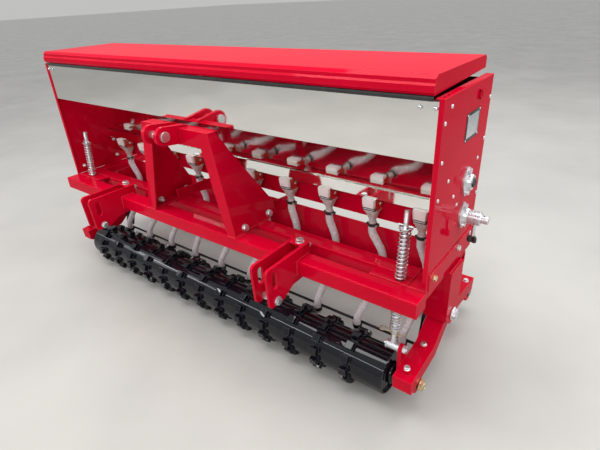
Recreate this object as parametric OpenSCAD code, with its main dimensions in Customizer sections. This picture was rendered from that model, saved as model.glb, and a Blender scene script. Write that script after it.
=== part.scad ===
// Ten-row seed drill for a tractor three-point hitch: lugged front roller, packer roller behind.
// X runs across the machine, +Y to its rear and +Z up, with Z = 0 on the ground.
// Inside the modules Y starts at the front beam's front face and Z at that beam's top face.

/* [Frame] */
// Length of the front beam, which is the width of the frame
frame_w = 1570; // [1500:10:1800]
// Height of the front beam's top face above the ground
frame_h = 385; // [370:5:420]
// Depth of the front beam from front to rear
front_beam_d = 56; // [50:1:64]
// Height of the front beam's section
front_beam_h = 46; // [40:1:52]
// Gap between the front beam and the second beam
beam_gap = 44; // [40:1:50]
// Depth of the second beam from front to rear
second_beam_d = 50; // [44:1:56]
// Wall of the frame's square tubes
tube_wall = 4; // [2.5:0.5:6]
// Outer corner radius of the tubes
tube_r = 5; // [4:0.5:8]
// Width of a side member
side_member_w = 50; // [44:1:56]
// Height of a side member's section
side_member_h = 25; // [20:1:30]
// Distance from the front beam's front face to the rear end of the side members
frame_d = 368; // [360:2:390]
// Depth of the rear cross tube from front to rear
rear_beam_d = 40; // [30:1:44]
// Thickness of the sheet that hangs in front of the rear cross tube
apron_t = 3; // [2:0.5:5]
// Distance from the front beam's front face to that sheet
apron_y = 294; // [290:1:298]
// Height of that sheet
apron_h = 190; // [120:5:200]

/* [Mast] */
// Height of the mast's top corners above the front beam
mast_h = 313; // [300:1:340]
// Width over the mast's legs at the top
mast_top_w = 300; // [280:2:320]
// Width over the mast's legs at the beam
mast_foot_w = 424; // [400:2:450]
// Thickness of the mast's plates
mast_t = 6; // [4:1:10]
// Width of the front strip of a mast leg
mast_strip_w = 36; // [28:1:44]
// Depth of the top bar of the mast
mast_bar_d = 42; // [36:1:50]
// Height of the top bar of the mast
mast_bar_h = 48; // [40:1:56]
// Gap between the ears that take the top link
top_ear_gap = 44; // [40:1:50]
// Diameter of the top link pin
top_pin_d = 22; // [19:0.5:25.4]
// Distance of the top link pin in front of the mast
top_pin_out = 57; // [50:1:65]
// Thickness of the hitch ears
ear_t = 12; // [8:1:14]

/* [Lower hitch] */
// Distance between the centres of the two lower hitch brackets
lower_hitch_w = 824; // [800:2:860]
// Gap between the two plates of a lower hitch bracket
lower_gap = 40; // [38:1:50]
// Thickness of a lower hitch plate
lower_plate_t = 8; // [6:1:12]
// Width of the upright slot in a lower hitch plate
hitch_slot_w = 20; // [18:0.5:24]
// Length of that slot
hitch_slot_l = 52; // [40:1:60]
// Diameter of the stop pin below the slot
stop_pin_d = 14; // [12:0.5:18]

/* [Hopper] */
// Thickness of the hopper's end plates
end_plate_t = 3; // [2:0.5:5]
// Height of the end plates' top edge above the front beam
hopper_h = 452; // [440:2:480]
// Distance from the front beam's front face to the hopper's front edge
hopper_y = 48; // [44:1:52]
// Distance from front to rear of the hopper's end plates
hopper_d = 310; // [300:2:330]
// Thickness of the hopper's sheets
sheet_t = 2; // [1.5:0.5:3]
// Height of the hopper's upright front panel
panel_h = 123; // [110:1:140]
// Height of the hopper's upright rear panel
rear_panel_h = 190; // [170:2:220]
// Height of the front lip of the lid
lid_lip = 32; // [26:1:40]
// Clearance between the lid's lip and the hopper's front panel
lid_gap = 11; // [8:1:14]
// Diameter of the lid's hinge rod
hinge_rod_d = 10; // [8:0.5:12]

/* [Metering] */
// Number of seed rows
rows = 10; // [6:2:10]
// Distance between seed rows
row_pitch = 152.4; // [140:0.1:155]
// Height of the metering rail's section
rail_h = 33; // [28:1:40]
// Distance from the front beam's front face to the rail's front face
rail_y = 228; // [224:1:232]
// Depth of the metering rail from front to rear
rail_d = 44; // [40:1:50]
// Width of a meter housing
meter_w = 36; // [30:1:44]
// Diameter of the metering shaft
meter_shaft_d = 20; // [16:0.5:22]
// Diameter of the agitator shaft
agitator_d = 16; // [12:0.5:18]
// Outer diameter of a seed tube
seed_tube_d = 24; // [20:0.5:28]
// Radial clearance of a turning shaft in its bearing
running_fit = 0.05; // [0.02:0.01:0.1]

/* [Rollers] */
// Width of the two rollers' drums
roller_w = 1360; // [1320:10:1400]
// Diameter of the front roller's drum
front_drum_d = 131; // [120:1:134]
// Height of the front roller's lugs above the drum
lug_h = 16.5; // [12:0.5:17]
// Edge length of a square lug
lug_w = 19; // [14:0.5:24]
// Number of lugs round the front roller in each ring
lugs_round = 12; // [8:2:16]
// Number of lug rings along the front roller
lug_rings = 13; // [9:1:13]
// Diameter of the rear roller's drum
rear_drum_d = 184; // [170:2:190]
// Height of the ribs on the rear roller
rib_h = 8; // [6:1:10]
// Diameter of the rollers' shafts
roller_shaft_d = 30; // [25:1:32]
// Distance from the front beam's front face to the front roller's axis
front_axis_y = 60; // [50:1:64]
// Distance from the front beam's front face to the rear roller's axis
rear_axis_y = 512; // [508:1:530]

/* [Roller arms] */
// Width of the arms' box section
arm_w = 52; // [44:1:56]
// Height of the arms' box section
arm_h = 42; // [38:1:44]
// Distance from the end of the front beam in to an arm's inner face
arm_inset = 47; // [44:1:50]
// Distance from the front beam's front face to the arms' pivot
pivot_y = 248; // [244:1:252]
// Depth of the pivot below the front beam's top face
pivot_drop = 184; // [180:1:188]
// Diameter of the pivot pin
pivot_d = 20; // [16:0.5:24]
// Depth of the front arm's front end below the pivot
front_arm_drop = 84; // [82:1:86]
// Distance from the front beam's front face to the bend in the front arm
arm_bend_y = 150; // [146:1:152]
// Distance from the pivot to the rear end of the rear arm
rear_arm_l = 206; // [200:1:210]
// Thickness of the pivot posts' plates
post_t = 6; // [4:1:8]

/* [Springs] */
// Distance from an arm's inner face in to the spring rod
spring_inset = 30; // [26:1:34]
// Diameter of a spring rod
spring_rod_d = 14; // [12:0.5:16]
// Outer diameter of the springs above the frame
spring_d = 34; // [30:0.5:38]
// Outer diameter of the springs below the frame
lower_spring_d = 27; // [24:0.5:30]
// Diameter of the springs' wire
spring_wire_d = 4; // [3:0.5:5]
// Length of an upper spring
upper_spring_l = 138; // [130:2:144]
// Length of a lower spring
lower_spring_l = 138; // [120:2:142]

/* [Hidden] */

red = "#c4111f";
steel = "#c9ccd0";
zinc = "#b4b8bd";
black = "#17181b";
clear = "#d9dcd8";

$fn = 48;
half = frame_w / 2;
inner = half - side_member_w;
second_y = front_beam_d + beam_gap;
arm_x = half - arm_inset;
spring_x = arm_x - spring_inset;
front_r = front_drum_d / 2 + lug_h;
rear_r = rear_drum_d / 2 + rib_h;
front_axis = [front_axis_y, front_r - frame_h];
rear_axis = [rear_axis_y, rear_r - frame_h];
pivot = [pivot_y, -pivot_drop];
side_play = 0.3;
pin_play = 0.1;
shaft_end_x = half + 67;
hitch_front = 125;
mid_y = (rear_axis_y + rear_r - hitch_front) / 2;

// Puts the machine's own axes on the ground, midway between its front and its rear
module stand() {
  translate([0, -mid_y, frame_h]) children();
}

// Mirror copies of a piece for both sides
module both() {
  children();
  mirror([1, 0, 0]) children();
}

// A flat outline drawn in Y and Z, made t thick from x towards +X
module plate(x, t) {
  translate([x, 0, 0]) rotate([90, 0, 90]) linear_extrude(t) children();
}

// A flat outline drawn in X and Z, made t thick from y towards +Y
module wall(y, t) {
  translate([0, y + t, 0]) rotate([90, 0, 0]) linear_extrude(t) children();
}

// A bar along X from x to x + l at the point at = [y, z]
module rod(at, x, l, d) {
  translate([x, at[0], at[1]]) rotate([0, 90, 0]) cylinder(d = d, h = l);
}

// A rectangle with round corners, from its lower left corner
module round_rect(size, r) {
  translate([r, 0]) square([size[0] - 2 * r, size[1]]);
  translate([0, r]) square([size[0], size[1] - 2 * r]);
  for (a = [r, size[0] - r], b = [r, size[1] - r]) translate([a, b]) circle(r);
}

// The section of a hollow tube, from its lower left corner
module tube_section(size) {
  difference() {
    round_rect(size, tube_r);
    translate([tube_wall, tube_wall])
      round_rect([size[0] - 2 * tube_wall, size[1] - 2 * tube_wall], max(0.5, tube_r - tube_wall));
  }
}

// Two round ends of radii ra and rb joined by their outer tangents
module link(a, ra, b, rb) {
  v = b - a;
  l = norm(v);
  turn = atan2(v[1], v[0]);
  lean = acos((ra - rb) / l);
  translate(a) circle(ra);
  translate(b) circle(rb);
  polygon([
    a + ra * [cos(turn + lean), sin(turn + lean)],
    a + ra * [cos(turn - lean), sin(turn - lean)],
    b + rb * [cos(turn - lean), sin(turn - lean)],
    b + rb * [cos(turn + lean), sin(turn + lean)]
  ]);
}

// A flat sheet of thickness t folded along the points of a line in Y and Z, with square ends
function unit(v) = v / norm(v);
function bend_offset(points, i, h) =
  let (
    n = len(points) - 1,
    a = unit(points[max(i, 1)] - points[max(i, 1) - 1]),
    b = unit(points[min(i, n - 1) + 1] - points[min(i, n - 1)]),
    m = unit([-a[1] - b[1], a[0] + b[0]])
  ) points[i] + h / (m * [-a[1], a[0]]) * m;
module fold(points, t) {
  n = len(points) - 1;
  polygon(concat([for (i = [0 : n]) bend_offset(points, i, t / 2)],
    [for (i = [n : -1 : 0]) bend_offset(points, i, -t / 2)]));
}

// A wire or hose swept along a list of points, with the given number of sides
function ring(p, dir, r, sides) =
  let (s = unit(cross(dir, abs(dir[2]) > 0.9 ? [0, 1, 0] : [0, 0, 1])), u = cross(s, dir))
  [for (i = [0 : sides - 1]) p + r * (cos(360 * i / sides) * s + sin(360 * i / sides) * u)];
module sweep(path, d, sides = 8) {
  n = len(path);
  dirs = [for (i = [0 : n - 1]) unit(path[min(i + 1, n - 1)] - path[max(i - 1, 0)])];
  rings = [for (i = [0 : n - 1]) ring(path[i], dirs[i], d / 2, sides)];
  ends = [[for (k = [0 : sides - 1]) k], [for (k = [sides - 1 : -1 : 0]) (n - 1) * sides + k]];
  skin = [for (i = [0 : n - 2], k = [0 : sides - 1])
    let (m = (k + 1) % sides) [i * sides + k, (i + 1) * sides + k, (i + 1) * sides + m, i * sides + m]];
  polyhedron([for (q = rings) each q], concat(ends, skin), convexity = 10);
}

// Frame

// Capped cross tube at the front
module front_beam() {
  color(red) stand() {
    plate(tube_wall - half, frame_w - 2 * tube_wall)
      translate([0, -front_beam_h]) tube_section([front_beam_d, front_beam_h]);
    both() plate(half - tube_wall, tube_wall)
      translate([0, -front_beam_h]) round_rect([front_beam_d, front_beam_h], tube_r);
  }
}

module second_beam() {
  color(red) stand() plate(-inner, 2 * inner)
    translate([second_y, -front_beam_h]) tube_section([second_beam_d, front_beam_h]);
}

module rear_beam() {
  color(red) stand() plate(-half, frame_w)
    translate([apron_y + apron_t, -side_member_h - rear_beam_d]) tube_section([rear_beam_d, rear_beam_d]);
}

module side_member() {
  translate([inner, frame_d, -side_member_h]) rotate([90, 0, 0])
    linear_extrude(frame_d - front_beam_d) tube_section([side_member_w, side_member_h]);
}
module side_member_left() {
  color(red) stand() mirror([1, 0, 0]) side_member();
}
module side_member_right() {
  color(red) stand() side_member();
}

// Plates between the two beams that the springs stand on, each with a hole for the rod
corner_t = 8;
corner_w = 105;
spring_foot_y = front_beam_d + 18;
module corner_plates() {
  color(red) stand() both() difference() {
    translate([inner - corner_w, front_beam_d, -corner_t]) cube([corner_w, beam_gap, corner_t]);
    translate([spring_x, spring_foot_y, -corner_t - 1])
      cylinder(d = spring_rod_d + 6, h = corner_t + 2);
  }
}

// Sheet that hangs between the side members, with a narrow fold along its lower edge
apron_fold = 20;
module apron_sheet() {
  color(red) stand() {
    plate(-inner, 2 * inner) translate([apron_y, -apron_h]) square([apron_t, apron_h]);
    plate(1 - cheek_x, 2 * cheek_x - 2) translate([apron_y - apron_fold, -apron_h])
      square([apron_fold, apron_t]);
  }
}

// Mast and top link

mast_in_top = mast_top_w / 2 - mast_strip_w;
mast_in_foot = mast_foot_w / 2 - mast_strip_w;
mast_lean = atan((mast_foot_w - mast_top_w) / 2 / mast_h);
mast_foot_d = second_y + second_beam_d;
gusset_h = mast_h / cos(mast_lean);
gusset_inset = 1;
gusset = [
  [mast_t / 2, mast_t / 2], [mast_t / 2, gusset_h - 1], [30, gusset_h - 1], [73, gusset_h * 0.75],
  [mast_foot_d + 39, 52], [mast_foot_d + 39, 14], [mast_foot_d, mast_t / 2]
];
ear_r = 27;
ear_z = mast_h - 10;
top_pin = [-top_pin_out, ear_z];
module mast() {
  color(red) stand() {
    wall(0, mast_t) difference() {
      polygon([[-mast_foot_w / 2, 0], [-mast_top_w / 2, mast_h],
        [mast_top_w / 2, mast_h], [mast_foot_w / 2, 0]]);
      polygon([[-mast_in_foot, -1], [-mast_in_top, mast_h - mast_bar_h],
        [mast_in_top, mast_h - mast_bar_h], [mast_in_foot, -1]]);
    }
    intersection() {
      plate(-mast_foot_w / 2, mast_foot_w)
        translate([mast_t / 2, mast_h - mast_bar_h]) tube_section([mast_bar_d, mast_bar_h - 0.5]);
      wall(-1, mast_bar_d + 2) polygon([[mast_t / 2 - mast_foot_w / 2, 0], [mast_t / 2 - mast_top_w / 2, mast_h],
        [mast_top_w / 2 - mast_t / 2, mast_h], [mast_foot_w / 2 - mast_t / 2, 0]]);
    }
    both() {
      translate([mast_foot_w / 2, 0, 0]) rotate([0, -mast_lean, 0])
        plate(-mast_t - gusset_inset, mast_t) polygon(gusset);
      translate([mast_in_foot, mast_t / 2, 0])
        cube([mast_strip_w - gusset_inset, mast_foot_d - mast_t / 2, mast_t]);
      plate(top_ear_gap / 2, ear_t) difference() {
        link(top_pin, ear_r, [mast_bar_d - ear_r, mast_h - ear_r + 8], ear_r);
        translate(top_pin) circle(d = top_pin_d + 2 * pin_play);
      }
    }
  }
}

// Flat bars from the mast's feet back to the apron sheet
brace_t = 6;
module mast_braces() {
  color(red) stand() both() plate(mast_in_foot, brace_t)
    polygon([[second_y, mast_t], [second_y, 40], [apron_y, 26], [apron_y, -22], [mast_foot_d + 2, mast_t]]);
}

pin_head_d = 30;
pin_head_t = 8;
module top_link_pin() {
  pin_half = top_ear_gap / 2 + ear_t + side_play;
  color(zinc) stand() {
    rod(top_pin, -pin_half - 20, 2 * pin_half + 20, top_pin_d);
    rod(top_pin, pin_half, pin_head_t, pin_head_d);
  }
}

// Lower hitch

stop_pin = [-89, -75];
slot_y = -94;
slot_z = -10;
lower_x = lower_hitch_w / 2;
lower_out = lower_gap / 2 + lower_plate_t;
module lower_plate() {
  difference() {
    union() {
      link([-hitch_front + 14, 18], 14, [-hitch_front + 19, -74], 14);
      link([-hitch_front + 19, -74], 14, [-68, -74], 14);
      polygon([[-hitch_front + 14, 32], [front_beam_d + 6, 31], [front_beam_d + 6, 0], [0, 0],
        [0, -front_beam_h], [front_beam_d + 6, -front_beam_h], [front_beam_d + 6, -front_beam_h - 18],
        [-20, -front_beam_h - 18], [-68, -88], [-hitch_front + 19, -74]]);
    }
    link([slot_y, slot_z - hitch_slot_l / 2 + hitch_slot_w / 2], hitch_slot_w / 2,
      [slot_y, slot_z + hitch_slot_l / 2 - hitch_slot_w / 2], hitch_slot_w / 2);
    translate(stop_pin) circle(d = stop_pin_d + 2 * pin_play);
  }
}
module lower_bracket() {
  translate([lower_x, 0, 0]) {
    both() plate(lower_gap / 2, lower_plate_t) lower_plate();
    // Clamp plate behind the beam
    translate([-lower_out, front_beam_d, -front_beam_h - 18])
      cube([2 * lower_out, 6, front_beam_h + 18 + 31]);
  }
}
module lower_bracket_left() {
  color(red) stand() mirror([1, 0, 0]) lower_bracket();
}
module lower_bracket_right() {
  color(red) stand() lower_bracket();
}
module stop_pins() {
  color(zinc) stand() both() {
    rod(stop_pin, lower_x - lower_out - 8, 2 * lower_out + 8 + side_play, stop_pin_d);
    rod(stop_pin, lower_x + lower_out + side_play, 8, stop_pin_d + 8);
  }
}

// Hopper

end_x = half - end_plate_t;
rail_top = 154;
rail_bottom = rail_top - rail_h;
shaft = [rail_y + 18, 126];
agitator_axis = [rail_y + 13, 219];
flange_w = 19;
end_flange_w = 12;
foot_h = 46;
bearing_r = 22;
// End plate with a flange along its front, rear and top edges and a thick foot
module hopper_end() {
  difference() {
    union() {
      plate(end_x, end_plate_t) translate([hopper_y, 0]) square([hopper_d, hopper_h]);
      plate(half, end_plate_t) translate([hopper_y + 12, 0]) square([hopper_d - 12, foot_h]);
      plate(half - end_flange_w, end_flange_w)
        translate([hopper_y, side_member_h]) square([end_plate_t, hopper_h - side_member_h]);
      plate(half - end_flange_w, end_flange_w)
        translate([hopper_y + hopper_d - end_plate_t, 0]) square([end_plate_t, hopper_h]);
      plate(half - flange_w, flange_w)
        translate([hopper_y, hopper_h - end_plate_t]) square([hopper_d, end_plate_t]);
    }
    rod(shaft, end_x - 1, end_plate_t + 2, meter_shaft_d + 10);
    rod(agitator_axis, end_x - 1, end_plate_t + 2, agitator_d + 10);
    for (y = [14, 36]) translate([half - flange_w + 5, hopper_y + y, hopper_h - end_plate_t - 1])
      cube([7, 13, end_plate_t + 2]);
  }
}
module hopper_end_left() {
  color(red) stand() mirror([1, 0, 0]) hopper_end();
}
module hopper_end_right() {
  color(red) stand() hopper_end();
}

panel_y = hopper_y + end_plate_t + sheet_t / 2;
panel_top = hopper_h - end_plate_t - 5;
rear_y = hopper_y + hopper_d - end_plate_t - sheet_t / 2;
floor_z = rail_top + sheet_t / 2;
module hopper_front() {
  color(steel) stand() plate(-end_x, 2 * end_x) fold([
    [panel_y + 12, panel_top], [panel_y, panel_top], [panel_y, panel_top - panel_h],
    [rail_y + 5, floor_z], [rail_y + 12, floor_z]], sheet_t);
}
module hopper_back() {
  color(steel) stand() plate(-end_x, 2 * end_x) fold([
    [rear_y - 12, panel_top], [rear_y, panel_top], [rear_y, panel_top - rear_panel_h],
    [rail_y + rail_d - 5, floor_z], [rail_y + rail_d - 12, floor_z]], sheet_t);
}

// Lid, which turns about the hinge rod at its rear edge
hinge = [rear_y - 8, hopper_h + 10];
lid_w = 2 * (half - flange_w - 1);
lid_y = panel_y - lid_gap;
lid_low = hopper_h + 5;
lid_top = lid_low + lid_lip + 6;
lid_t = 2;
lid_profile = [
  [lid_y + 5, lid_low], [lid_y, lid_low + 6], [lid_y, lid_low + 18], [lid_y + 4, lid_low + 22],
  [lid_y + 4, lid_low + lid_lip - 2], [lid_y + 12, lid_top - 1], [hinge[0] - 4, lid_top - 1],
  [hinge[0] + 6, lid_top - 8]];
knuckle_w = 60;
knuckle_r = hinge_rod_d / 2 + 5;
knuckle_x = [-560, 0, 560];
module lid() {
  color(red) stand() {
    plate(-lid_w / 2, lid_w) fold(lid_profile, lid_t);
    both() plate(lid_w / 2 - lid_t, lid_t) polygon(concat(lid_profile, [[hinge[0] + 6, lid_low + 8]]));
    for (x = knuckle_x) difference() {
      plate(x - knuckle_w / 2, knuckle_w) {
        translate(hinge) circle(knuckle_r);
        translate([hinge[0] - 3, hinge[1]]) square([6, lid_top - hinge[1] - 1]);
      }
      rod(hinge, x - knuckle_w / 2 - 1, knuckle_w + 2, hinge_rod_d + 2 * running_fit);
    }
  }
}

// Hinge rod with the ears that hold it on the hopper's rear panel
module hinge_rod() {
  color(zinc) stand() {
    rod(hinge, -lid_w / 2 + 20, lid_w - 40, hinge_rod_d);
    for (x = knuckle_x) translate([x, 0, 0]) both()
      plate(knuckle_w / 2 + 1, 4) difference() {
        link(hinge, knuckle_r, [rear_y - 6, panel_top + sheet_t / 2 + 6], 6);
        translate([hinge[0] - 30, panel_top - 20]) square([60, 20 + sheet_t / 2]);
      }
  }
}

// Metering

row_xs = [for (i = [0 : rows - 1]) (i - (rows - 1) / 2) * row_pitch];
rail_t = 3;
outlet_d = 20;
// Inverted channel that is the floor of the hopper, with one outlet for each row
module metering_rail() {
  color(steel) stand() difference() {
    plate(-end_x, 2 * end_x) difference() {
      translate([rail_y, rail_bottom]) square([rail_d, rail_h]);
      translate([rail_y + rail_t, rail_bottom - 1]) square([rail_d - 2 * rail_t, rail_h + 1 - rail_t]);
    }
    for (x = row_xs) translate([x, rail_y + rail_d / 2, rail_top - rail_t - 1])
      cylinder(d = outlet_d, h = rail_t + 2);
  }
}

meter_low = 80;
spigot_d = seed_tube_d - 5;
spigot_z = 24;
meter_y = rail_y + rail_d / 2;
// Housing with a chute in front, and a funnel below it that ends in the hose's spigot
module seed_meters() {
  chute_w = meter_w + 4;
  chute_y = rail_y - 2;
  funnel_h = 34;
  color(clear) stand() for (x = row_xs) translate([x, 0, 0]) difference() {
    union() {
      plate(-meter_w / 2, meter_w) translate([rail_y + rail_t, meter_low])
        square([rail_d - 2 * rail_t, rail_top - rail_t - meter_low]);
      plate(-chute_w / 2, chute_w)
        polygon([[chute_y - 8, rail_bottom - 1], [chute_y - 3, meter_low + 2], [chute_y + 8, meter_low + 2],
          [chute_y + 8, rail_bottom - 1]]);
      translate([0, meter_y, meter_low - funnel_h]) rotate(45)
        cylinder(d1 = spigot_d * 1.3, d2 = meter_w * 1.4, h = funnel_h, $fn = 4);
      translate([0, meter_y, spigot_z]) cylinder(d = spigot_d, h = meter_low - spigot_z);
    }
    rod(shaft, -meter_w, 2 * meter_w, meter_shaft_d + 2);
    translate([0, meter_y, spigot_z - 1]) cylinder(d = spigot_d - 4, h = 40);
  }
}

module metering_shaft() {
  color(zinc) stand() difference() {
    rod(shaft, -upper_case_x - 12, upper_case_x + 12 + shaft_end_x, meter_shaft_d);
    translate([shaft_end_x - 12, shaft[0], shaft[1] - 20]) cylinder(d = 6, h = 40);
  }
}

// Two-bolt flange bearing on the outside of an end plate, d being the shaft's diameter
module flange_bearing(at, d, reach) {
  difference() {
    union() {
      plate(half, 7) {
        link(at, reach * 0.6, at + [0, reach], 10);
        link(at, reach * 0.6, at - [0, reach], 10);
      }
      rod(at, half, 19, d + 18);
    }
    rod(at, half - 1, 22, d + 2 * running_fit);
    for (s = [-1, 1]) rod(at + [0, s * reach], half - 1, 9, 9);
  }
}
module metering_bearings() {
  color(zinc) stand() both() flange_bearing(shaft, meter_shaft_d, 34);
}
module agitator_bearings() {
  color(zinc) stand() both() flange_bearing(agitator_axis, agitator_d, 38);
}

finger_r = 34;
finger_d = 6;
module agitator() {
  color(zinc) stand() {
    rod(agitator_axis, -upper_case_x - 12, upper_case_x + 12 + half + 22, agitator_d);
    for (i = [0 : rows - 1]) translate([row_xs[i], agitator_axis[0], agitator_axis[1]])
      rotate([i % 2 == 0 ? 0 : 90, 0, 0]) cylinder(d = finger_d, h = 2 * finger_r, center = true);
  }
}

// Ridged hub at the shaft's free end, with a locking screw below it
hub_x = half + 19;
hub_d = 36;
hub_l = 30;
knob_z = 58;
knob_h = 18;
module rate_adjuster() {
  color(zinc) stand() {
    difference() {
      union() {
        rod(shaft, hub_x, hub_l, hub_d - 6);
        for (i = [0 : 3]) rod(shaft, hub_x + i * 8, 5, hub_d);
        translate([hub_x + 16, shaft[0], knob_z + knob_h]) cylinder(d = 10, h = shaft[1] - knob_z - knob_h - 13);
      }
      rod(shaft, hub_x - 1, hub_l + 10, meter_shaft_d + 2 * running_fit);
    }
  }
}
// Three-lobed knob on the end of the locking screw
module knob() {
  color(black) stand() translate([hub_x + 16, shaft[0], knob_z]) {
    cylinder(d = 16, h = knob_h);
    for (a = [90, 210, 330]) rotate(a) translate([8, 0, 0]) cylinder(d = 12, h = knob_h);
  }
}

// Seed tubes, each from its meter down to the guide behind the front roller
guide_y = 170;
guide_z = -300;
guide_h = 30;
// How far each tube bows to the right below its meter
function bow(i) = 22 + 14 * sin(100 * i);
function tube_route(x, b) = [
  [x, meter_y, spigot_z], [x, meter_y, 2], [x + 0.35 * b, 256, -28], [x + 0.8 * b, 262, -64],
  [x + b, 256, -104], [x + 0.9 * b, 238, -148], [x + 0.6 * b, 212, -192], [x + 0.25 * b, 187, -232],
  [x, guide_y, guide_z + guide_h + 6], [x, guide_y, guide_z - 8]
];
module seed_tubes() {
  color(clear) stand() for (i = [0 : rows - 1]) sweep(tube_route(row_xs[i], bow(i)), seed_tube_d);
}

guide_r = seed_tube_d / 2 + side_play;
cheek_x = arm_x - side_play - post_t;
guide_end = cheek_x - post_t - side_play;
module tube_guide() {
  color(red) stand() {
    difference() {
      union() {
        translate([-guide_end, guide_y + 14, guide_z]) cube([2 * guide_end, 5, guide_h]);
        for (x = row_xs) translate([x, guide_y, guide_z]) {
          cylinder(r = guide_r + 3, h = guide_h);
        }
      }
      for (x = row_xs) translate([x, guide_y, guide_z - 1]) cylinder(r = guide_r, h = guide_h + 2);
    }
    both() plate(cheek_x - post_t, post_t) difference() {
      polygon([[guide_y + 14, guide_z], [guide_y + 44, guide_z], [pivot_y + 20, -pivot_drop + 60],
        [pivot_y - 26, -pivot_drop + 60], [guide_y + 14, guide_z + guide_h]]);
      translate(pivot) circle(d = pivot_d + 2 * pin_play);
    }
  }
}

// Roller arms

cheek_r = 32;
post_y = pivot_y - 50;
post_end = apron_y - 4;
web_l = 158;
module pivot_post() {
  out_x = arm_x + arm_w + side_play;
  difference() {
    union() {
      for (x = [cheek_x, out_x]) plate(x, post_t) {
        polygon([[post_y, -side_member_h], [post_y, -side_member_h - web_l], [pivot_y - 24, -pivot_drop - 21],
          [pivot_y + 30, -pivot_drop - 11], [post_end, -pivot_drop + 10], [post_end, -side_member_h]]);
        translate(pivot) circle(cheek_r);
      }
      translate([cheek_x, post_y, -side_member_h - post_t])
        cube([out_x + post_t - cheek_x, post_end - post_y, post_t]);
      translate([cheek_x, post_y, -side_member_h - web_l]) cube([out_x + post_t - cheek_x, post_t, web_l]);
    }
    rod(pivot, cheek_x - 1, arm_w + 20, pivot_d + 2 * pin_play);
  }
}
module pivot_post_left() {
  color(red) stand() mirror([1, 0, 0]) pivot_post();
}
module pivot_post_right() {
  color(red) stand() pivot_post();
}

post_out = arm_x + arm_w + side_play + post_t;
nut_t = 10;
module pivot_pins() {
  pin_in = cheek_x - post_t - side_play - nut_t;
  color(zinc) stand() {
    both() {
      rod(pivot, pin_in, post_out + side_play - pin_in, pivot_d);
      rod(pivot, pin_in, nut_t, pivot_d + 10);
    }
    rod(pivot, post_out + side_play, 14, pivot_d + 8);
  }
}

arm_end = pivot + [rear_arm_l, -22];
arm_line = [[0, pivot[1] - front_arm_drop], [arm_bend_y, pivot[1] - front_arm_drop + 11], pivot, arm_end];
arm_bolt_ys = [26, 134];
housing_r = 27;
eye = [56, -202];
lug_t = 10;
eye_bolt_d = 10;
module arm_outline(inset) {
  n = len(arm_line) - 1;
  fold([for (i = [0 : n]) arm_line[i] + [i == 0 ? inset : i == n ? -inset : 0, 0]], arm_h - 2 * inset);
}
// Box arm bent twice, with a bearing housing bolted under its front end and a lug for the spring
module arm() {
  spring_lug = [eye[0] + 8, eye[1] - 62];
  difference() {
    union() {
      difference() {
        plate(arm_x, arm_w) arm_outline(0);
        plate(arm_x + tube_wall, arm_w - 2 * tube_wall) arm_outline(tube_wall);
      }
      rod(pivot, arm_x, arm_w, arm_h + 8);
      plate(arm_x + 6, arm_w - 12) {
        translate([arm_bolt_ys[0] - 14, pivot[1] - front_arm_drop - arm_h / 2 - 8])
          square([arm_bolt_ys[1] - arm_bolt_ys[0] + 28, 20]);
        translate(front_axis) circle(housing_r);
      }
      for (y = arm_bolt_ys) translate([arm_x + arm_w / 2, y, pivot[1] - front_arm_drop])
        cylinder(d = 20, h = arm_h / 2 + 16);
      plate(arm_x - lug_t, lug_t) link(eye, 14, spring_lug, 22);
    }
    rod(pivot, arm_x - 1, arm_w + 2, pivot_d + 2 * pin_play);
    rod(front_axis, arm_x - 1, arm_w + 2, roller_shaft_d + 2 * running_fit);
    rod(eye, arm_x - lug_t - 1, lug_t + 2, eye_bolt_d + 2 * pin_play);
  }
}
module arm_left() {
  color(red) stand() mirror([1, 0, 0]) arm();
}
module arm_right() {
  color(red) stand() arm();
}

// Bolted plate on a rear arm that carries the rear roller's bearing
drop_t = 8;
drop_l = 60;
drop_r = 40;
module drop_bracket() {
  hold = arm_end - [30, -3];
  difference() {
    union() {
      plate(arm_x - drop_t, drop_t) {
        link(hold - [drop_l, 0], arm_h / 2, hold, arm_h / 2);
        link(hold, arm_h / 2, rear_axis, drop_r);
        link(hold - [drop_l, 0], arm_h / 2, rear_axis, drop_r);
      }
      rod(rear_axis, arm_x, 30, roller_shaft_d + 32);
    }
    rod(rear_axis, arm_x - drop_t - 1, 60, roller_shaft_d + 2 * running_fit);
  }
}
module drop_bracket_left() {
  color(red) stand() mirror([1, 0, 0]) drop_bracket();
}
module drop_bracket_right() {
  color(red) stand() drop_bracket();
}

// Rollers

drum_wall = 6;
end_inset = 6;
module drum(d, w) {
  rotate([0, 90, 0]) {
    difference() {
      cylinder(d = d, h = w, center = true, $fn = 96);
      cylinder(d = d - 2 * drum_wall, h = w + 2, center = true, $fn = 96);
    }
    for (s = [-1, 1]) translate([0, 0, s * (w / 2 - end_inset)]) difference() {
      cylinder(d = d - drum_wall, h = 8, center = true);
      cylinder(r = roller_shaft_d / 2 + pin_play, h = 10, center = true);
    }
  }
}

ring_pitch = 102;
module front_roller() {
  cap_x = arm_x + arm_w - 6;
  color(black) stand() translate([0, front_axis[0], front_axis[1]]) {
    drum(front_drum_d, roller_w);
    for (i = [0 : lug_rings - 1], k = [0 : lugs_round - 1])
      translate([(i - (lug_rings - 1) / 2) * ring_pitch - 18, 0, 0])
        rotate([360 / lugs_round * (k + (i % 2) / 2), 0, 0])
          translate([-lug_w / 2, -lug_w / 2, -front_r]) cube([lug_w, lug_w, lug_h + 2]);
    rod([0, 0], -cap_x, 2 * cap_x, roller_shaft_d);
    both() rod([0, 0], cap_x, 10, roller_shaft_d - 6);
  }
}

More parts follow.
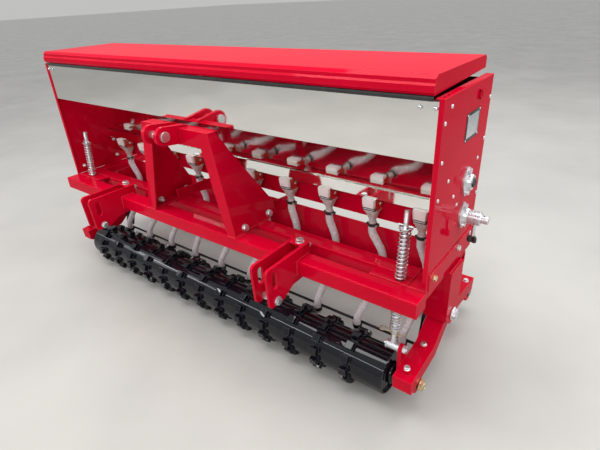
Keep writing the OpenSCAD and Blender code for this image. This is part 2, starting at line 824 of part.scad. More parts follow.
rib_w = 30;
module rear_roller() {
  color(black) stand() translate([0, rear_axis[0], rear_axis[1]]) {
    drum(rear_drum_d, roller_w);
    for (x = row_xs) if (abs(x) < roller_w / 2) translate([x, 0, 0]) rotate([0, 90, 0]) difference() {
      union() {
        cylinder(r = rear_r, h = rib_w / 3, center = true, $fn = 96);
        for (s = [0, 1]) mirror([0, 0, s]) translate([0, 0, rib_w / 6])
          cylinder(r1 = rear_r, r2 = rear_drum_d / 2, h = rib_w / 3, $fn = 96);
      }
      cylinder(d = rear_drum_d - 4, h = rib_w + 2, center = true, $fn = 96);
    }
    rod([0, 0], -(arm_x + arm_w + 22), 2 * arm_x + arm_w + 56, roller_shaft_d);
  }
}

// Spring rods, leaning from their eyes on the arms up through the corner plates

rod_lean = atan((spring_foot_y - eye[0]) / -eye[1]);
rod_low = norm([spring_foot_y - eye[0], eye[1]]);
rod_top = 184;
cross_pin_d = 4;
eye_l = 36;
eye_d = 24;
module on_rod() {
  translate([spring_x, spring_foot_y, 0]) rotate([-rod_lean, 0, 0]) children();
}
module spring_rod() {
  on_rod() {
    translate([0, 0, -rod_low]) cylinder(d = spring_rod_d, h = rod_low + rod_top);
    translate([0, 0, upper_spring_l + side_play]) cylinder(d = spring_d, h = 3);
    translate([0, 0, upper_spring_l + side_play + 3 + cross_pin_d]) rotate([0, 90, 0])
      cylinder(d = cross_pin_d, h = spring_d + 4, center = true);
    translate([0, 0, -corner_t - lower_spring_l - side_play - 3]) cylinder(d = lower_spring_d, h = 3);
  }
  rod(eye, spring_x - eye_l / 2, arm_x - lug_t - spring_x + eye_l / 2, eye_d);
  rod(eye, spring_x - eye_l / 2 - 6, arm_x - spring_x + eye_l / 2 + 18, eye_bolt_d);
  rod(eye, arm_x + side_play, 8, eye_bolt_d + 8);
}
module spring_rod_left() {
  color(zinc) stand() mirror([1, 0, 0]) spring_rod();
}
module spring_rod_right() {
  color(zinc) stand() spring_rod();
}

// Coil spring of outer diameter d from z = 0 up to z = l
module coil(d, l, turns, steps = 12) {
  r = (d - spring_wire_d) / 2;
  n = turns * steps;
  sweep([for (i = [0 : n]) let (a = 360 * i / steps, h = (l - spring_wire_d) * i / n + spring_wire_d / 2)
    [r * cos(a), r * sin(a), h]], spring_wire_d, 6);
}
// How far a leaning spring's end stays off the flat plate
spring_seat = spring_d / 2 * sin(rod_lean) + side_play;
module upper_springs() {
  color(zinc) stand() both() on_rod()
    translate([0, 0, spring_seat]) coil(spring_d, upper_spring_l - spring_seat, 15);
}
module lower_springs() {
  color(zinc) stand() both() on_rod()
    translate([0, 0, -corner_t - lower_spring_l]) coil(lower_spring_d, lower_spring_l - spring_seat, 13);
}

// Chain drive from the rear roller to the two shafts, inside two closed cases on the left

case_t = 25;
case_r = 46;
case_low_r = 34;
case_top_r = 30;
stud_d = 14;
lower_case_x = post_out + 1.7;
upper_case_x = shaft_end_x - case_t;
module lower_drive_case() {
  color(red) stand() mirror([1, 0, 0]) difference() {
    union() {
      plate(lower_case_x, case_t) link(pivot, case_low_r, rear_axis, case_r);
      for (y = [post_end - pivot_y + 40, post_end - pivot_y + 80])
        rod(pivot + [y, -0.1 * y], arm_x + arm_w, lower_case_x - arm_x - arm_w, stud_d);
    }
    rod(rear_axis, lower_case_x - 1, 20, roller_shaft_d + 4);
    rod(pivot, lower_case_x - 1, 12, pivot_d + 4);
  }
}
module upper_drive_case() {
  color(red) stand() mirror([1, 0, 0]) difference() {
    union() {
      plate(upper_case_x, case_t) {
        link(pivot, case_low_r, shaft, case_r);
        link(shaft, case_r, agitator_axis, case_top_r);
      }
      for (y = [-case_top_r, case_top_r])
        rod([shaft[0] + y, foot_h / 2], half + end_plate_t, upper_case_x - half - end_plate_t, stud_d);
      rod(pivot, lower_case_x + case_t, upper_case_x - lower_case_x - case_t, 24);
    }
    rod(shaft, upper_case_x - 1, 16, meter_shaft_d + 4);
    rod(agitator_axis, upper_case_x - 1, 16, agitator_d + 4);
  }
}

front_beam();
second_beam();
rear_beam();
side_member_left();
side_member_right();
corner_plates();
apron_sheet();
mast();
top_link_pin();
lower_bracket_left();
lower_bracket_right();
stop_pins();
hopper_end_left();
hopper_end_right();
hopper_front();
hopper_back();
metering_rail();
lid();
hinge_rod();
seed_meters();
metering_shaft();
metering_bearings();
agitator();
agitator_bearings();
rate_adjuster();
knob();
seed_tubes();
tube_guide();
pivot_post_left();
pivot_post_right();
pivot_pins();
arm_left();
arm_right();
front_roller();
rear_roller();
drop_bracket_left();
drop_bracket_right();
spring_rod_left();
spring_rod_right();
upper_springs();
lower_springs();
lower_drive_case();
upper_drive_case();
mast_braces();
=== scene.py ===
import math
import random

import bmesh
import bpy
from mathutils import Matrix, Vector
from mathutils.geometry import convex_hull_2d


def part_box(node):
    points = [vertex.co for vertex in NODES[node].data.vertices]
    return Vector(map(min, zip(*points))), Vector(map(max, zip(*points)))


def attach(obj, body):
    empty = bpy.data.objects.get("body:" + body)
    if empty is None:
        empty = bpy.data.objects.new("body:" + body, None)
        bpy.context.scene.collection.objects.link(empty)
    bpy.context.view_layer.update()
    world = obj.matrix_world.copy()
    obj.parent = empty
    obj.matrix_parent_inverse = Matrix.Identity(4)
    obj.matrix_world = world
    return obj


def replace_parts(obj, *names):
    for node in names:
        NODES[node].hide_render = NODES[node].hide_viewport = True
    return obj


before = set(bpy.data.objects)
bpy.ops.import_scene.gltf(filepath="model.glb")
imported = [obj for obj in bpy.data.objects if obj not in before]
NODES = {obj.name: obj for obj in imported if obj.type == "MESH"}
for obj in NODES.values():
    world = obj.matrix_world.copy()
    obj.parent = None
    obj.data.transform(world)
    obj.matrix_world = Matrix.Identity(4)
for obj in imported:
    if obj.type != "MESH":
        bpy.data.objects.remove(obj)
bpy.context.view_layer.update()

# Sizes are in mm in the machine's own axes: X from its centre to its right side,
# Y rearwards from the front face of the front beam, Z up from that beam's top face.
# What runs along X has its place as (Y, Z)
MID_Y = 243.5
BEAM_TOP = 385
# X of the end plates' outer faces, which is half the frame's width
HALF = 785
ROW_PITCH = 152.4
ROWS = [(i - 4.5) * ROW_PITCH for i in range(10)]
METER_Y = 250
SHAFT = (246, 126)
AGITATOR = (241, 219)
FRONT_AXIS = (60, -303)
REAR_AXIS = (512, -285)
PIVOT = (248, -184)
STOP_PIN = (-89, -75)
HITCH_X = 412
# X of the middle of an arm's tube
ARM_MID = 764
X, Y, Z = Vector((1, 0, 0)), Vector((0, 1, 0)), Vector((0, 0, 1))
# The left side is -1 and the right side 1
SIDES = (-1, 1)


def at(x, y, z):
    return Vector((x / 1000, (y - MID_Y) / 1000, (z + BEAM_TOP) / 1000))


# Camera, at the photograph's place and angle, with its width and focal length in pixels

PHOTO_W = 600
FOCAL = 441
CAMERA = (1080, -785, 639)


def add_camera():
    data = bpy.data.cameras.new("camera")
    data.sensor_fit = "HORIZONTAL"
    data.angle = 2 * math.atan(PHOTO_W / 2 / FOCAL)
    data.clip_start = 0.05
    cam = bpy.data.objects.new("camera", data)
    bpy.context.scene.collection.objects.link(cam)
    forward = Vector((-0.5504, 0.6948, -0.4629)).normalized()
    down = Vector((0.2461, -0.3976, -0.8840))
    right = down.cross(forward).normalized()
    down = forward.cross(right).normalized()
    turn = Matrix((right, -down, -forward)).transposed()
    cam.matrix_world = Matrix.Translation(at(*CAMERA)) @ turn.to_4x4()
    bpy.context.scene.camera = cam


# Materials

INPUTS = {
    "color": "Base Color", "metal": "Metallic", "ior": "IOR", "clear": "Transmission Weight",
    "spec": "Specular IOR Level", "coat": "Coat Weight", "coat_rough": "Coat Roughness",
    "coat_ior": "Coat IOR", "sss": "Subsurface Weight", "sss_scale": "Subsurface Scale",
}


def new_material(name):
    mat = bpy.data.materials.new(name)
    mat.use_nodes = True
    tree = mat.node_tree
    return mat, tree, tree.nodes["Principled BSDF"]


def put(shader, **values):
    for key, value in values.items():
        shader.inputs[INPUTS[key]].default_value = (*value, 1) if key == "color" else value


def noise(tree, scale, detail, stretch=(1, 1, 1)):
    coord = tree.nodes.new("ShaderNodeTexCoord")
    mapping = tree.nodes.new("ShaderNodeMapping")
    mapping.inputs["Scale"].default_value = stretch
    node = tree.nodes.new("ShaderNodeTexNoise")
    node.inputs["Scale"].default_value = scale
    node.inputs["Detail"].default_value = detail
    tree.links.new(coord.outputs["Object"], mapping.inputs["Vector"])
    tree.links.new(mapping.outputs["Vector"], node.inputs["Vector"])
    return node.outputs["Fac"]


def ramp(tree, value, low, high, a, b):
    node = tree.nodes.new("ShaderNodeMapRange")
    node.inputs["From Min"].default_value = low
    node.inputs["From Max"].default_value = high
    node.inputs["To Min"].default_value = a
    node.inputs["To Max"].default_value = b
    tree.links.new(value, node.inputs["Value"])
    return node.outputs["Result"]


def mixed(tree, value, low, high, a, b):
    node = tree.nodes.new("ShaderNodeMix")
    node.data_type = "RGBA"
    node.inputs["A"].default_value = (*a, 1)
    node.inputs["B"].default_value = (*b, 1)
    tree.links.new(ramp(tree, value, low, high, 0, 1), node.inputs["Factor"])
    return node.outputs["Result"]


def color_by(tree, shader, value, low, high, a, b):
    """Base colour from a to b, as the value goes from low to high"""
    tree.links.new(mixed(tree, value, low, high, a, b), shader.inputs["Base Color"])


def roughness_by(tree, shader, value, low, high, a, b):
    """Roughness from a to b, as the value goes from low to high"""
    tree.links.new(ramp(tree, value, low, high, a, b), shader.inputs["Roughness"])


def bumps(tree, shader, layers, edge=0.0):
    """Layers of (height, strength, distance) over edges that look rounded by a radius in metres"""
    normal = None
    if edge:
        node = tree.nodes.new("ShaderNodeBevel")
        node.samples = 3
        node.inputs["Radius"].default_value = edge
        normal = node.outputs["Normal"]
    for height, strength, distance in layers:
        node = tree.nodes.new("ShaderNodeBump")
        node.inputs["Strength"].default_value = strength
        node.inputs["Distance"].default_value = distance
        tree.links.new(height, node.inputs["Height"])
        if normal:
            tree.links.new(normal, node.inputs["Normal"])
        normal = node.outputs["Normal"]
    tree.links.new(normal, shader.inputs["Normal"])
    return normal


def painted_edge_highlight(tree, shader, tone, color, most):
    """Painted highlight: lighter base colour along edges, where the rounded normal is 10 to 31 degrees off
    the true one
    """
    rounded = next(n for n in tree.nodes if n.bl_idname == "ShaderNodeBevel")
    turned = tree.nodes.new("ShaderNodeVectorMath")
    turned.operation = "DOT_PRODUCT"
    tree.links.new(rounded.outputs["Normal"], turned.inputs[0])
    tree.links.new(tree.nodes.new("ShaderNodeNewGeometry").outputs["True Normal"], turned.inputs[1])
    edge = tree.nodes.new("ShaderNodeMix")
    edge.data_type = "RGBA"
    edge.inputs["B"].default_value = (*color, 1)
    tree.links.new(ramp(tree, turned.outputs["Value"], 0.985, 0.86, 0, most), edge.inputs["Factor"])
    tree.links.new(tone, edge.inputs["A"])
    tree.links.new(edge.outputs["Result"], shader.inputs["Base Color"])


def red_paint():
    mat, tree, shader = new_material("red_paint")
    put(shader, coat=0.3, coat_rough=0.03, coat_ior=1.36, spec=0.0)
    tone = mixed(tree, noise(tree, 2.5, 3), 0.3, 0.7, (0.60, 0.001, 0.024), (0.50, 0.001, 0.018))
    roughness_by(tree, shader, noise(tree, 7, 3), 0.3, 0.75, 0.30, 0.42)
    grain, waves = noise(tree, 260, 2), noise(tree, 6, 2)
    normal = bumps(tree, shader, [(grain, 0.04, 0.0006), (waves, 0.16, 0.003)], 0.0012)
    tree.links.new(normal, shader.inputs["Coat Normal"])
    # Painted highlight: a lighter, pinker red along every edge
    painted_edge_highlight(tree, shader, tone, (0.95, 0.10, 0.13), 0.8)
    return mat


def polished_steel():
    mat, tree, shader = new_material("polished_steel")
    put(shader, metal=1.0, color=(0.86, 0.85, 0.82))
    streaks = noise(tree, 60, 4, (0.06, 2.5, 2.5))
    roughness_by(tree, shader, streaks, 0.3, 0.8, 0.035, 0.10)
    waves = noise(tree, 3.2, 2, (1, 1, 1.8))
    bumps(tree, shader, [(waves, 0.25, 0.008), (streaks, 0.03, 0.0002)], 0.0006)
    return mat


def zinc():
    mat, tree, shader = new_material("zinc")
    put(shader, metal=1.0)
    color_by(tree, shader, noise(tree, 130, 4), 0.3, 0.7, (0.62, 0.65, 0.69), (0.80, 0.82, 0.84))
    roughness_by(tree, shader, noise(tree, 60, 5), 0.3, 0.75, 0.28, 0.46)
    bumps(tree, shader, [(noise(tree, 700, 3), 0.05, 0.0003)], 0.0005)
    return mat


def yellow_zinc():
    mat, tree, shader = new_material("yellow_zinc")
    put(shader, metal=1.0)
    color_by(tree, shader, noise(tree, 90, 4), 0.3, 0.7, (0.72, 0.52, 0.24), (0.66, 0.60, 0.44))
    roughness_by(tree, shader, noise(tree, 60, 5), 0.3, 0.75, 0.22, 0.4)
    bumps(tree, shader, [(noise(tree, 700, 3), 0.1, 0.0003)], 0.0005)
    return mat


def black_paint():
    mat, tree, shader = new_material("black_paint")
    put(shader, coat=0.9, coat_rough=0.05, coat_ior=1.42, spec=0.0)
    tone = mixed(tree, noise(tree, 14, 5), 0.35, 0.75, (0.003, 0.0035, 0.006), (0.009, 0.009, 0.013))
    roughness_by(tree, shader, noise(tree, 55, 5), 0.3, 0.75, 0.28, 0.46)
    grain, waves = noise(tree, 500, 2), noise(tree, 18, 2)
    bumps(tree, shader, [(grain, 0.08, 0.0006), (waves, 0.15, 0.002)], 0.0014)
    # Painted highlight: a lighter grey along every edge, so the lugs' outlines show on the drum
    painted_edge_highlight(tree, shader, tone, (0.13, 0.13, 0.16), 0.85)
    return mat


def white_plastic():
    mat, tree, shader = new_material("white_plastic")
    put(shader, sss=0.12, sss_scale=0.004, spec=0.5)
    color_by(tree, shader, noise(tree, 30, 3), 0.35, 0.7, (0.93, 0.90, 0.90), (0.85, 0.81, 0.81))
    roughness_by(tree, shader, noise(tree, 70, 3), 0.3, 0.7, 0.3, 0.42)
    bumps(tree, shader, [(noise(tree, 300, 2), 0.08, 0.0004)], 0.0008)
    return mat


def clear_plastic():
    mat, tree, shader = new_material("clear_plastic")
    put(shader, clear=0.35, ior=1.40, spec=0.5)
    color_by(tree, shader, noise(tree, 40, 3), 0.35, 0.7, (0.80, 0.75, 0.73), (0.70, 0.64, 0.62))
    roughness_by(tree, shader, noise(tree, 80, 3), 0.3, 0.7, 0.22, 0.36)
    bumps(tree, shader, [(noise(tree, 200, 2), 0.08, 0.0004)])
    return mat


def clear_hose():
    mat, tree, shader = new_material("clear_hose")
    put(shader, clear=0.22, ior=1.38, spec=0.6)
    color_by(tree, shader, noise(tree, 8, 4), 0.35, 0.7, (0.84, 0.78, 0.80), (0.74, 0.68, 0.71))
    roughness_by(tree, shader, noise(tree, 40, 3), 0.3, 0.7, 0.18, 0.32)
    bumps(tree, shader, [(noise(tree, 30, 2, (1, 1, 0.3)), 0.06, 0.0006)])
    return mat


def black_plastic():
    mat, tree, shader = new_material("black_plastic")
    put(shader, spec=0.5)
    color_by(tree, shader, noise(tree, 60, 3), 0.35, 0.7, (0.014, 0.014, 0.015), (0.026, 0.026, 0.027))
    roughness_by(tree, shader, noise(tree, 90, 3), 0.3, 0.7, 0.36, 0.52)
    bumps(tree, shader, [(noise(tree, 900, 2), 0.15, 0.0003)], 0.0008)
    return mat


def floor_paint():
    mat, tree, shader = new_material("floor_paint")
    put(shader, spec=0.4)
    color_by(tree, shader, noise(tree, 1.6, 6), 0.3, 0.75, (0.50, 0.485, 0.455), (0.41, 0.40, 0.375))
    roughness_by(tree, shader, noise(tree, 5, 6), 0.3, 0.75, 0.38, 0.6)
    bumps(tree, shader, [(noise(tree, 60, 5), 0.05, 0.002)])
    return mat


RED = red_paint()
STEEL = polished_steel()
ZINC = zinc()
YELLOW = yellow_zinc()
BLACK = black_paint()
WHITE = white_plastic()
CLEAR = clear_plastic()
HOSE = clear_hose()
RUBBER = black_plastic()


# Mesh building

def piece(name, mesh, mat, body="root", smooth=35):
    """Makes an object from a bmesh in metres and lets it ride on a body"""
    data = bpy.data.meshes.new(name)
    mesh.to_mesh(data)
    mesh.free()
    data.materials.append(mat)
    data.shade_smooth()
    data.set_sharp_from_angle(angle=math.radians(smooth))
    obj = bpy.data.objects.new(name, data)
    bpy.context.scene.collection.objects.link(obj)
    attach(obj, body)
    return obj


def around(axis):
    """Two directions that are square to an axis and to each other"""
    side = axis.cross(Z if abs(axis.z) < 0.9 else Y).normalized()
    return side, axis.cross(side)


def spokes(side, up, sides):
    """Directions from the middle of a regular ring to its corners"""
    angles = (2 * math.pi * k / sides for k in range(sides))
    return [math.cos(a) * side + math.sin(a) * up for a in angles]


def headings(points):
    """The way that a line runs at each of its points"""
    n = len(points)
    return [(points[min(i + 1, n - 1)] - points[max(i - 1, 0)]).normalized() for i in range(n)]


def wrap(mesh, rings):
    """Faces between rings that have as many corners each"""
    faces = []
    for a, b in zip(rings, rings[1:]):
        n = len(a)
        for k in range(n):
            faces.append(mesh.faces.new((a[k], a[(k + 1) % n], b[(k + 1) % n], b[k])))
    return faces


def skin(mesh, rings):
    """A closed solid through rings of corners"""
    faces = wrap(mesh, rings)
    faces += [mesh.faces.new(rings[0]), mesh.faces.new(rings[-1])]
    bmesh.ops.recalc_face_normals(mesh, faces=faces)
    return faces


def prism(mesh, outline, axis, start, length):
    """A solid from an outline of 3-D points, pushed along an axis"""
    return skin(mesh, [[mesh.verts.new(p + axis * along / 1000) for p in outline]
                       for along in (start, start + length)])


def round_edges(mesh, faces, radius):
    edges = list({e for f in faces for e in f.edges})
    bmesh.ops.bevel(mesh, geom=edges, offset=radius / 1000, segments=2, profile=0.5, affect="EDGES")


def box(mesh, low, high, radius):
    """A box between two corners in mm, with rounded edges"""
    a, b = at(*low), at(*high)
    corners = [Vector((x, y, a.z)) for x, y in ((a.x, a.y), (b.x, a.y), (b.x, b.y), (a.x, b.y))]
    round_edges(mesh, prism(mesh, corners, Z, 0, (b.z - a.z) * 1000), radius)


def lathe(mesh, centre, axis, profile, sides):
    """A turned solid: profile gives (distance along the axis, radius) in mm from end to end"""
    axis = axis.normalized()
    directions = spokes(*around(axis), sides)
    rings = []
    for along, radius in profile:
        middle = centre + axis * along / 1000
        if radius < 0.01:
            rings.append([mesh.verts.new(middle)])
        else:
            rings.append([mesh.verts.new(middle + d * radius / 1000) for d in directions])
    faces = []
    for a, b in zip(rings, rings[1:]):
        for k in range(sides):
            corners = (a[k % len(a)], a[(k + 1) % len(a)], b[(k + 1) % len(b)], b[k % len(b)])
            corners = list(dict.fromkeys(corners))
            if len(corners) > 2:
                faces.append(mesh.faces.new(corners))
    faces += [mesh.faces.new(ring) for ring in (rings[0], rings[-1]) if len(ring) > 2]
    bmesh.ops.recalc_face_normals(mesh, faces=faces)


def both_ends(half):
    """The profile of a turned piece whose ends are alike, from the profile of its right half"""
    return [(-x, r) for x, r in reversed(half)] + half


def pipe(mesh, points, radius, sides, bore=None):
    """A round bar along points in metres, or a hose where it has a bore"""
    dirs = headings(points)
    side = dirs[0].cross(X if abs(dirs[0].x) < 0.9 else Y).normalized()
    outer, inner = [], []
    for p, d in zip(points, dirs):
        side = (side - d * side.dot(d)).normalized()
        ring = spokes(side, d.cross(side), sides)
        outer.append([mesh.verts.new(p + r * radius / 1000) for r in ring])
        if bore:
            inner.append([mesh.verts.new(p + r * bore / 1000) for r in ring])
    if bore:
        faces = wrap(mesh, outer) + wrap(mesh, inner)
        faces += wrap(mesh, [outer[0], inner[0]]) + wrap(mesh, [outer[-1], inner[-1]])
        bmesh.ops.recalc_face_normals(mesh, faces=faces)
    else:
        skin(mesh, outer)


def smooth_line(points, steps):
    """Points along a smooth curve through the given ones"""
    out = []
    last = len(points) - 1
    for i in range(last):
        p0, p1, p2, p3 = points[max(i - 1, 0)], points[i], points[i + 1], points[min(i + 2, last)]
        for t in (k / steps for k in range(steps)):
            out.append(0.5 * (2 * p1 + (p2 - p0) * t + (2 * p0 - 5 * p1 + 4 * p2 - p3) * t * t
                              + (3 * p1 - p0 - 3 * p2 + p3) * t ** 3))
    out.append(points[-1].copy())
    return out


def hex_head(mesh, centre, axis, across, height):
    """A hexagon head with a turned chamfer on its outer face"""
    r = across / math.sqrt(3)
    axis = axis.normalized()
    directions = spokes(*around(axis), 6)
    levels = ((0, 1), (height * 0.82, 1), (height, 0.88))
    skin(mesh, [[mesh.verts.new(centre + axis * along / 1000 + d * r * scale / 1000) for d in directions]
                for along, scale in levels])


def bolt(mesh, point, axis, d, stud=0.0):
    """A hexagon head on a washer; stud is how far a thread stands out of it, as on a nut"""
    washer_t, head_h, pitch = 1.8, d * 0.65, 1.2
    lathe(mesh, point, axis, [(-0.3, d * 1.05), (1.5, d * 1.05), (1.9, d * 0.98), (1.9, 0)], 28)
    base = point + axis.normalized() * washer_t / 1000
    hex_head(mesh, base, axis, d * 1.65, head_h)
    if stud:
        along = d * 0.6
        ridges = [(0, d * 0.5), (along, d * 0.5)]
        while along < head_h + stud - pitch:
            ridges += [(along + pitch / 2, d * 0.5), (along + pitch, d * 0.43)]
            along += pitch
        lathe(mesh, base, axis, ridges + [(along + 0.8, d * 0.36), (along + 0.8, 0)], 16)


def dome(mesh, point, axis, r, h):
    """A round head, as on a rivet or a pan-head screw"""
    steps = 6
    angles = (math.pi / 2 * k / steps for k in range(steps))
    profile = [(h * math.sin(a), r * math.cos(a)) for a in angles]
    lathe(mesh, point, axis, [(-0.3, r)] + profile + [(h, 0)], 20)


def weigh_normals(obj):
    """Lets the flat faces stay flat beside their rounded edges"""
    normals = obj.modifiers.new("normals", "WEIGHTED_NORMAL")
    normals.keep_sharp = True


def refine(node, width, mat, body="root"):
    """A copy of a CAD node with real rounded edges, which stands for the node"""
    mesh = bmesh.new()
    mesh.from_mesh(NODES[node].data)
    bmesh.ops.remove_doubles(mesh, verts=mesh.verts, dist=0.00002)
    bmesh.ops.dissolve_limit(mesh, angle_limit=math.radians(1.5), verts=mesh.verts, edges=mesh.edges)
    sharp = [e for e in mesh.edges if len(e.link_faces) == 2 and e.calc_face_angle() > math.radians(28)]
    bmesh.ops.bevel(mesh, geom=sharp, offset=width / 1000, segments=2, profile=0.5,
                    affect="EDGES", clamp_overlap=True)
    obj = piece(node + "_round", mesh, mat, body, smooth=38)
    weigh_normals(obj)
    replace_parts(obj, node)
    return obj


def dress(node, mat):
    """A CAD node that keeps its own shape gets a better material"""
    obj = NODES[node]
    obj.data.materials.clear()
    obj.data.materials.append(mat)


# Stage, with its places and sizes in metres

FLOOR_HALF = 60
AIM = (0, 0, 0.4)


def add_stage():
    mesh = bmesh.new()
    corners = [(x * FLOOR_HALF, y * FLOOR_HALF, 0) for x, y in ((-1, -1), (1, -1), (1, 1), (-1, 1))]
    mesh.faces.new([mesh.verts.new(p) for p in corners])
    data = bpy.data.meshes.new("floor")
    mesh.to_mesh(data)
    mesh.free()
    data.materials.append(floor_paint())
    floor = bpy.data.objects.new("floor", data)
    bpy.context.scene.collection.objects.link(floor)


def area_light(name, place, size, power, color=(1, 1, 1), target=AIM):
    data = bpy.data.lights.new(name, "AREA")
    data.shape = "RECTANGLE"
    data.size, data.size_y = size
    data.energy = power
    data.color = color
    light = bpy.data.objects.new(name, data)
    light.location = place
    light.rotation_euler = (Vector(target) - Vector(place)).to_track_quat("-Z", "Y").to_euler()
    bpy.context.scene.collection.objects.link(light)


def add_sky():
    """A plain studio, grey at the floor's height and lighter overhead"""
    world = bpy.data.worlds.new("world")
    world.use_nodes = True
    tree = world.node_tree
    back = tree.nodes["Background"]
    coord = tree.nodes.new("ShaderNodeTexCoord")
    split = tree.nodes.new("ShaderNodeSeparateXYZ")
    tree.links.new(coord.outputs["Generated"], split.inputs["Vector"])
    tone = mixed(tree, split.outputs["Z"], 0.0, 0.8, (0.66, 0.66, 0.65), (0.95, 0.97, 1.0))
    tree.links.new(tone, back.inputs["Color"])
    back.inputs["Strength"].default_value = 0.8
    bpy.context.scene.world = world


def add_lights():
    area_light("top_light", (0.2, -0.3, 3.2), (3.4, 1.2), 80)
    area_light("front_light", (1.2, -3.4, 2.2), (2.4, 0.8), 38, (1.0, 0.98, 0.95))
    area_light("side_light", (3.6, 0.2, 1.9), (0.6, 1.6), 17, (0.95, 0.98, 1.0))
    area_light("left_light", (-3.2, -1.8, 2.2), (1.2, 1.2), 12, (0.97, 0.98, 1.0))
    # A thin strip, for the bright lines on the front roller's gloss
    area_light("strip_light", (-2.6, -3.4, 2.85), (4.6, 0.12), 32, (0.96, 0.98, 1.0), (-0.6, 0, 0.3))
    area_light("back_light", (1.4, 3.3, 3.0), (2.6, 0.8), 42)
    bpy.context.scene.view_settings.view_transform = "Standard"
    bpy.context.scene.view_settings.look = "None"


add_camera()


# Seed hoses, each from its meter down to the guide behind the front roller

HOSE_R = 12
HOSE_BORE_R = 9
SPIGOT_Z = 24
GUIDE_Y = 170
GUIDE_Z = -300


def hose_route(i):
    x = ROWS[i]
    bow = 22 + 14 * math.sin(math.radians(100 * i))
    return [(x, METER_Y, SPIGOT_Z), (x, METER_Y, 2), (x + 0.35 * bow, 256, -28),
            (x + 0.8 * bow, 262, -64), (x + bow, 256, -104), (x + 0.9 * bow, 238, -148),
            (x + 0.6 * bow, 212, -192), (x + 0.25 * bow, 187, -232), (x, GUIDE_Y, GUIDE_Z + 36),
            (x, GUIDE_Y, GUIDE_Z - 8)]


def add_hoses():
    for i in range(len(ROWS)):
        line = smooth_line([at(*p) for p in hose_route(i)], 4)
        mesh = bmesh.new()
        pipe(mesh, line, HOSE_R, 24, HOSE_BORE_R)
        obj = piece("hose_%d" % i, mesh, HOSE)
        if i == 0:
            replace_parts(obj, "seed_tubes")


add_hoses()
add_stage()
add_sky()
add_lights()


# Round-edged copies of the welded frame and the sheets

for node, width in (
        ("front_beam", 3.2), ("second_beam", 3.2), ("rear_beam", 3), ("side_member_left", 2.5),
        ("side_member_right", 2.5), ("corner_plates", 1), ("apron_sheet", 0.8), ("mast", 1.3),
        ("mast_braces", 1.2), ("lower_bracket_left", 1.8), ("lower_bracket_right", 1.8),
        ("hopper_end_left", 0.9), ("hopper_end_right", 0.9),
        ("pivot_post_left", 1.2), ("pivot_post_right", 1.2), ("arm_left", 2.4), ("arm_right", 2.4),
        ("drop_bracket_left", 1.5), ("drop_bracket_right", 1.5)):
    refine(node, width, RED)
CASES = {node: refine(node, 3, RED) for node in ("lower_drive_case", "upper_drive_case")}
refine("lid", 0.6, RED, body="lid")
for node in ("hopper_front", "hopper_back", "metering_rail"):
    refine(node, 0.5, STEEL)
refine("rear_roller", 1.2, BLACK, body="rear_roller")
for node in ("top_link_pin", "hinge_rod", "rate_adjuster", "spring_rod_left", "spring_rod_right"):
    refine(node, 1, ZINC)
dress("metering_shaft", ZINC)
dress("agitator", ZINC)


# Front roller: a closed drum with rings of square lugs, each half a step round from the next

DRUM_R = 65.5
DRUM_END = 708
ROLLER_SHAFT_R = 15
LUG_RINGS = 13
LUGS_ROUND = 12
RING_PITCH = 102
RING_SHIFT = -18
LUG_ROOT_R = DRUM_R - 3
LUG_TIP_R = 82
LUG_W = 23
LUG_EDGE_R = 1.6


def lug(mesh, centre, x, turn):
    """One square block on the drum; turn is its angle from straight down"""
    out = Vector((0, math.sin(turn), -math.cos(turn)))
    along = Vector((0, math.cos(turn), math.sin(turn)))
    root = centre + X * x / 1000 + out * LUG_ROOT_R / 1000
    half = LUG_W / 2
    outline = [root + (X * u + along * v) * half / 1000 for u, v in ((-1, -1), (1, -1), (1, 1), (-1, 1))]
    return prism(mesh, outline, out, 0, LUG_TIP_R - LUG_ROOT_R)


def add_front_roller():
    mesh = bmesh.new()
    centre = at(0, *FRONT_AXIS)
    # The drum's ends are turned in behind a rim, to a hub that stands out round the shaft
    lathe(mesh, centre, X, both_ends([
        (DRUM_END - 2, DRUM_R), (DRUM_END, DRUM_R - 2), (DRUM_END, 60), (702, 58.5), (702, 34), (704, 32),
        (716, 31), (722, 26), (722, ROLLER_SHAFT_R)]), 96)
    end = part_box("front_roller")[1][0] * 1000
    r = ROLLER_SHAFT_R
    lathe(mesh, centre, X, both_ends([
        (end - 11, r), (end - 10, r - 1), (end - 10, r - 3), (end - 1, r - 3), (end, r - 4), (end, 0)]), 48)
    lugs = []
    for i in range(LUG_RINGS):
        x = (i - (LUG_RINGS - 1) / 2) * RING_PITCH + RING_SHIFT
        for k in range(LUGS_ROUND):
            lugs += lug(mesh, centre, x, 2 * math.pi / LUGS_ROUND * (k + (i % 2) / 2))
    round_edges(mesh, lugs, LUG_EDGE_R)
    roller = piece("lugged_roller", mesh, BLACK, body="front_roller")
    weigh_normals(roller)
    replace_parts(roller, "front_roller")


add_front_roller()


# Spring rods, which lean from their eyes on the arms up through the corner plates

ROD_EYE = (56, -202)
ROD_FOOT_Y = 74
ROD_LEAN = math.atan((ROD_FOOT_Y - ROD_EYE[0]) / -ROD_EYE[1])
SPRING_X = 708
CORNER_T = 8
SPRING_L = 138
# Radius of the upper springs' solids, and how far a leaning spring's end stays off the flat plate
SOLID_SPRING_R = 17
SPRING_SEAT = SOLID_SPRING_R * math.sin(ROD_LEAN) + 0.3
COIL_R = 12.4
WIRE_D = 3.8
HAIRPIN_Z = -159
# X of an arm's inner face, which is the outer face of its lug for the spring rod
ARM_X = 738


def on_rod(side, point):
    """A place measured along a rod, from where it passes the corner plate's top face"""
    p = Matrix.Rotation(-ROD_LEAN, 3, "X") @ Vector(point)
    return at(side * (SPRING_X + p.x), ROD_FOOT_Y + p.y, p.z)


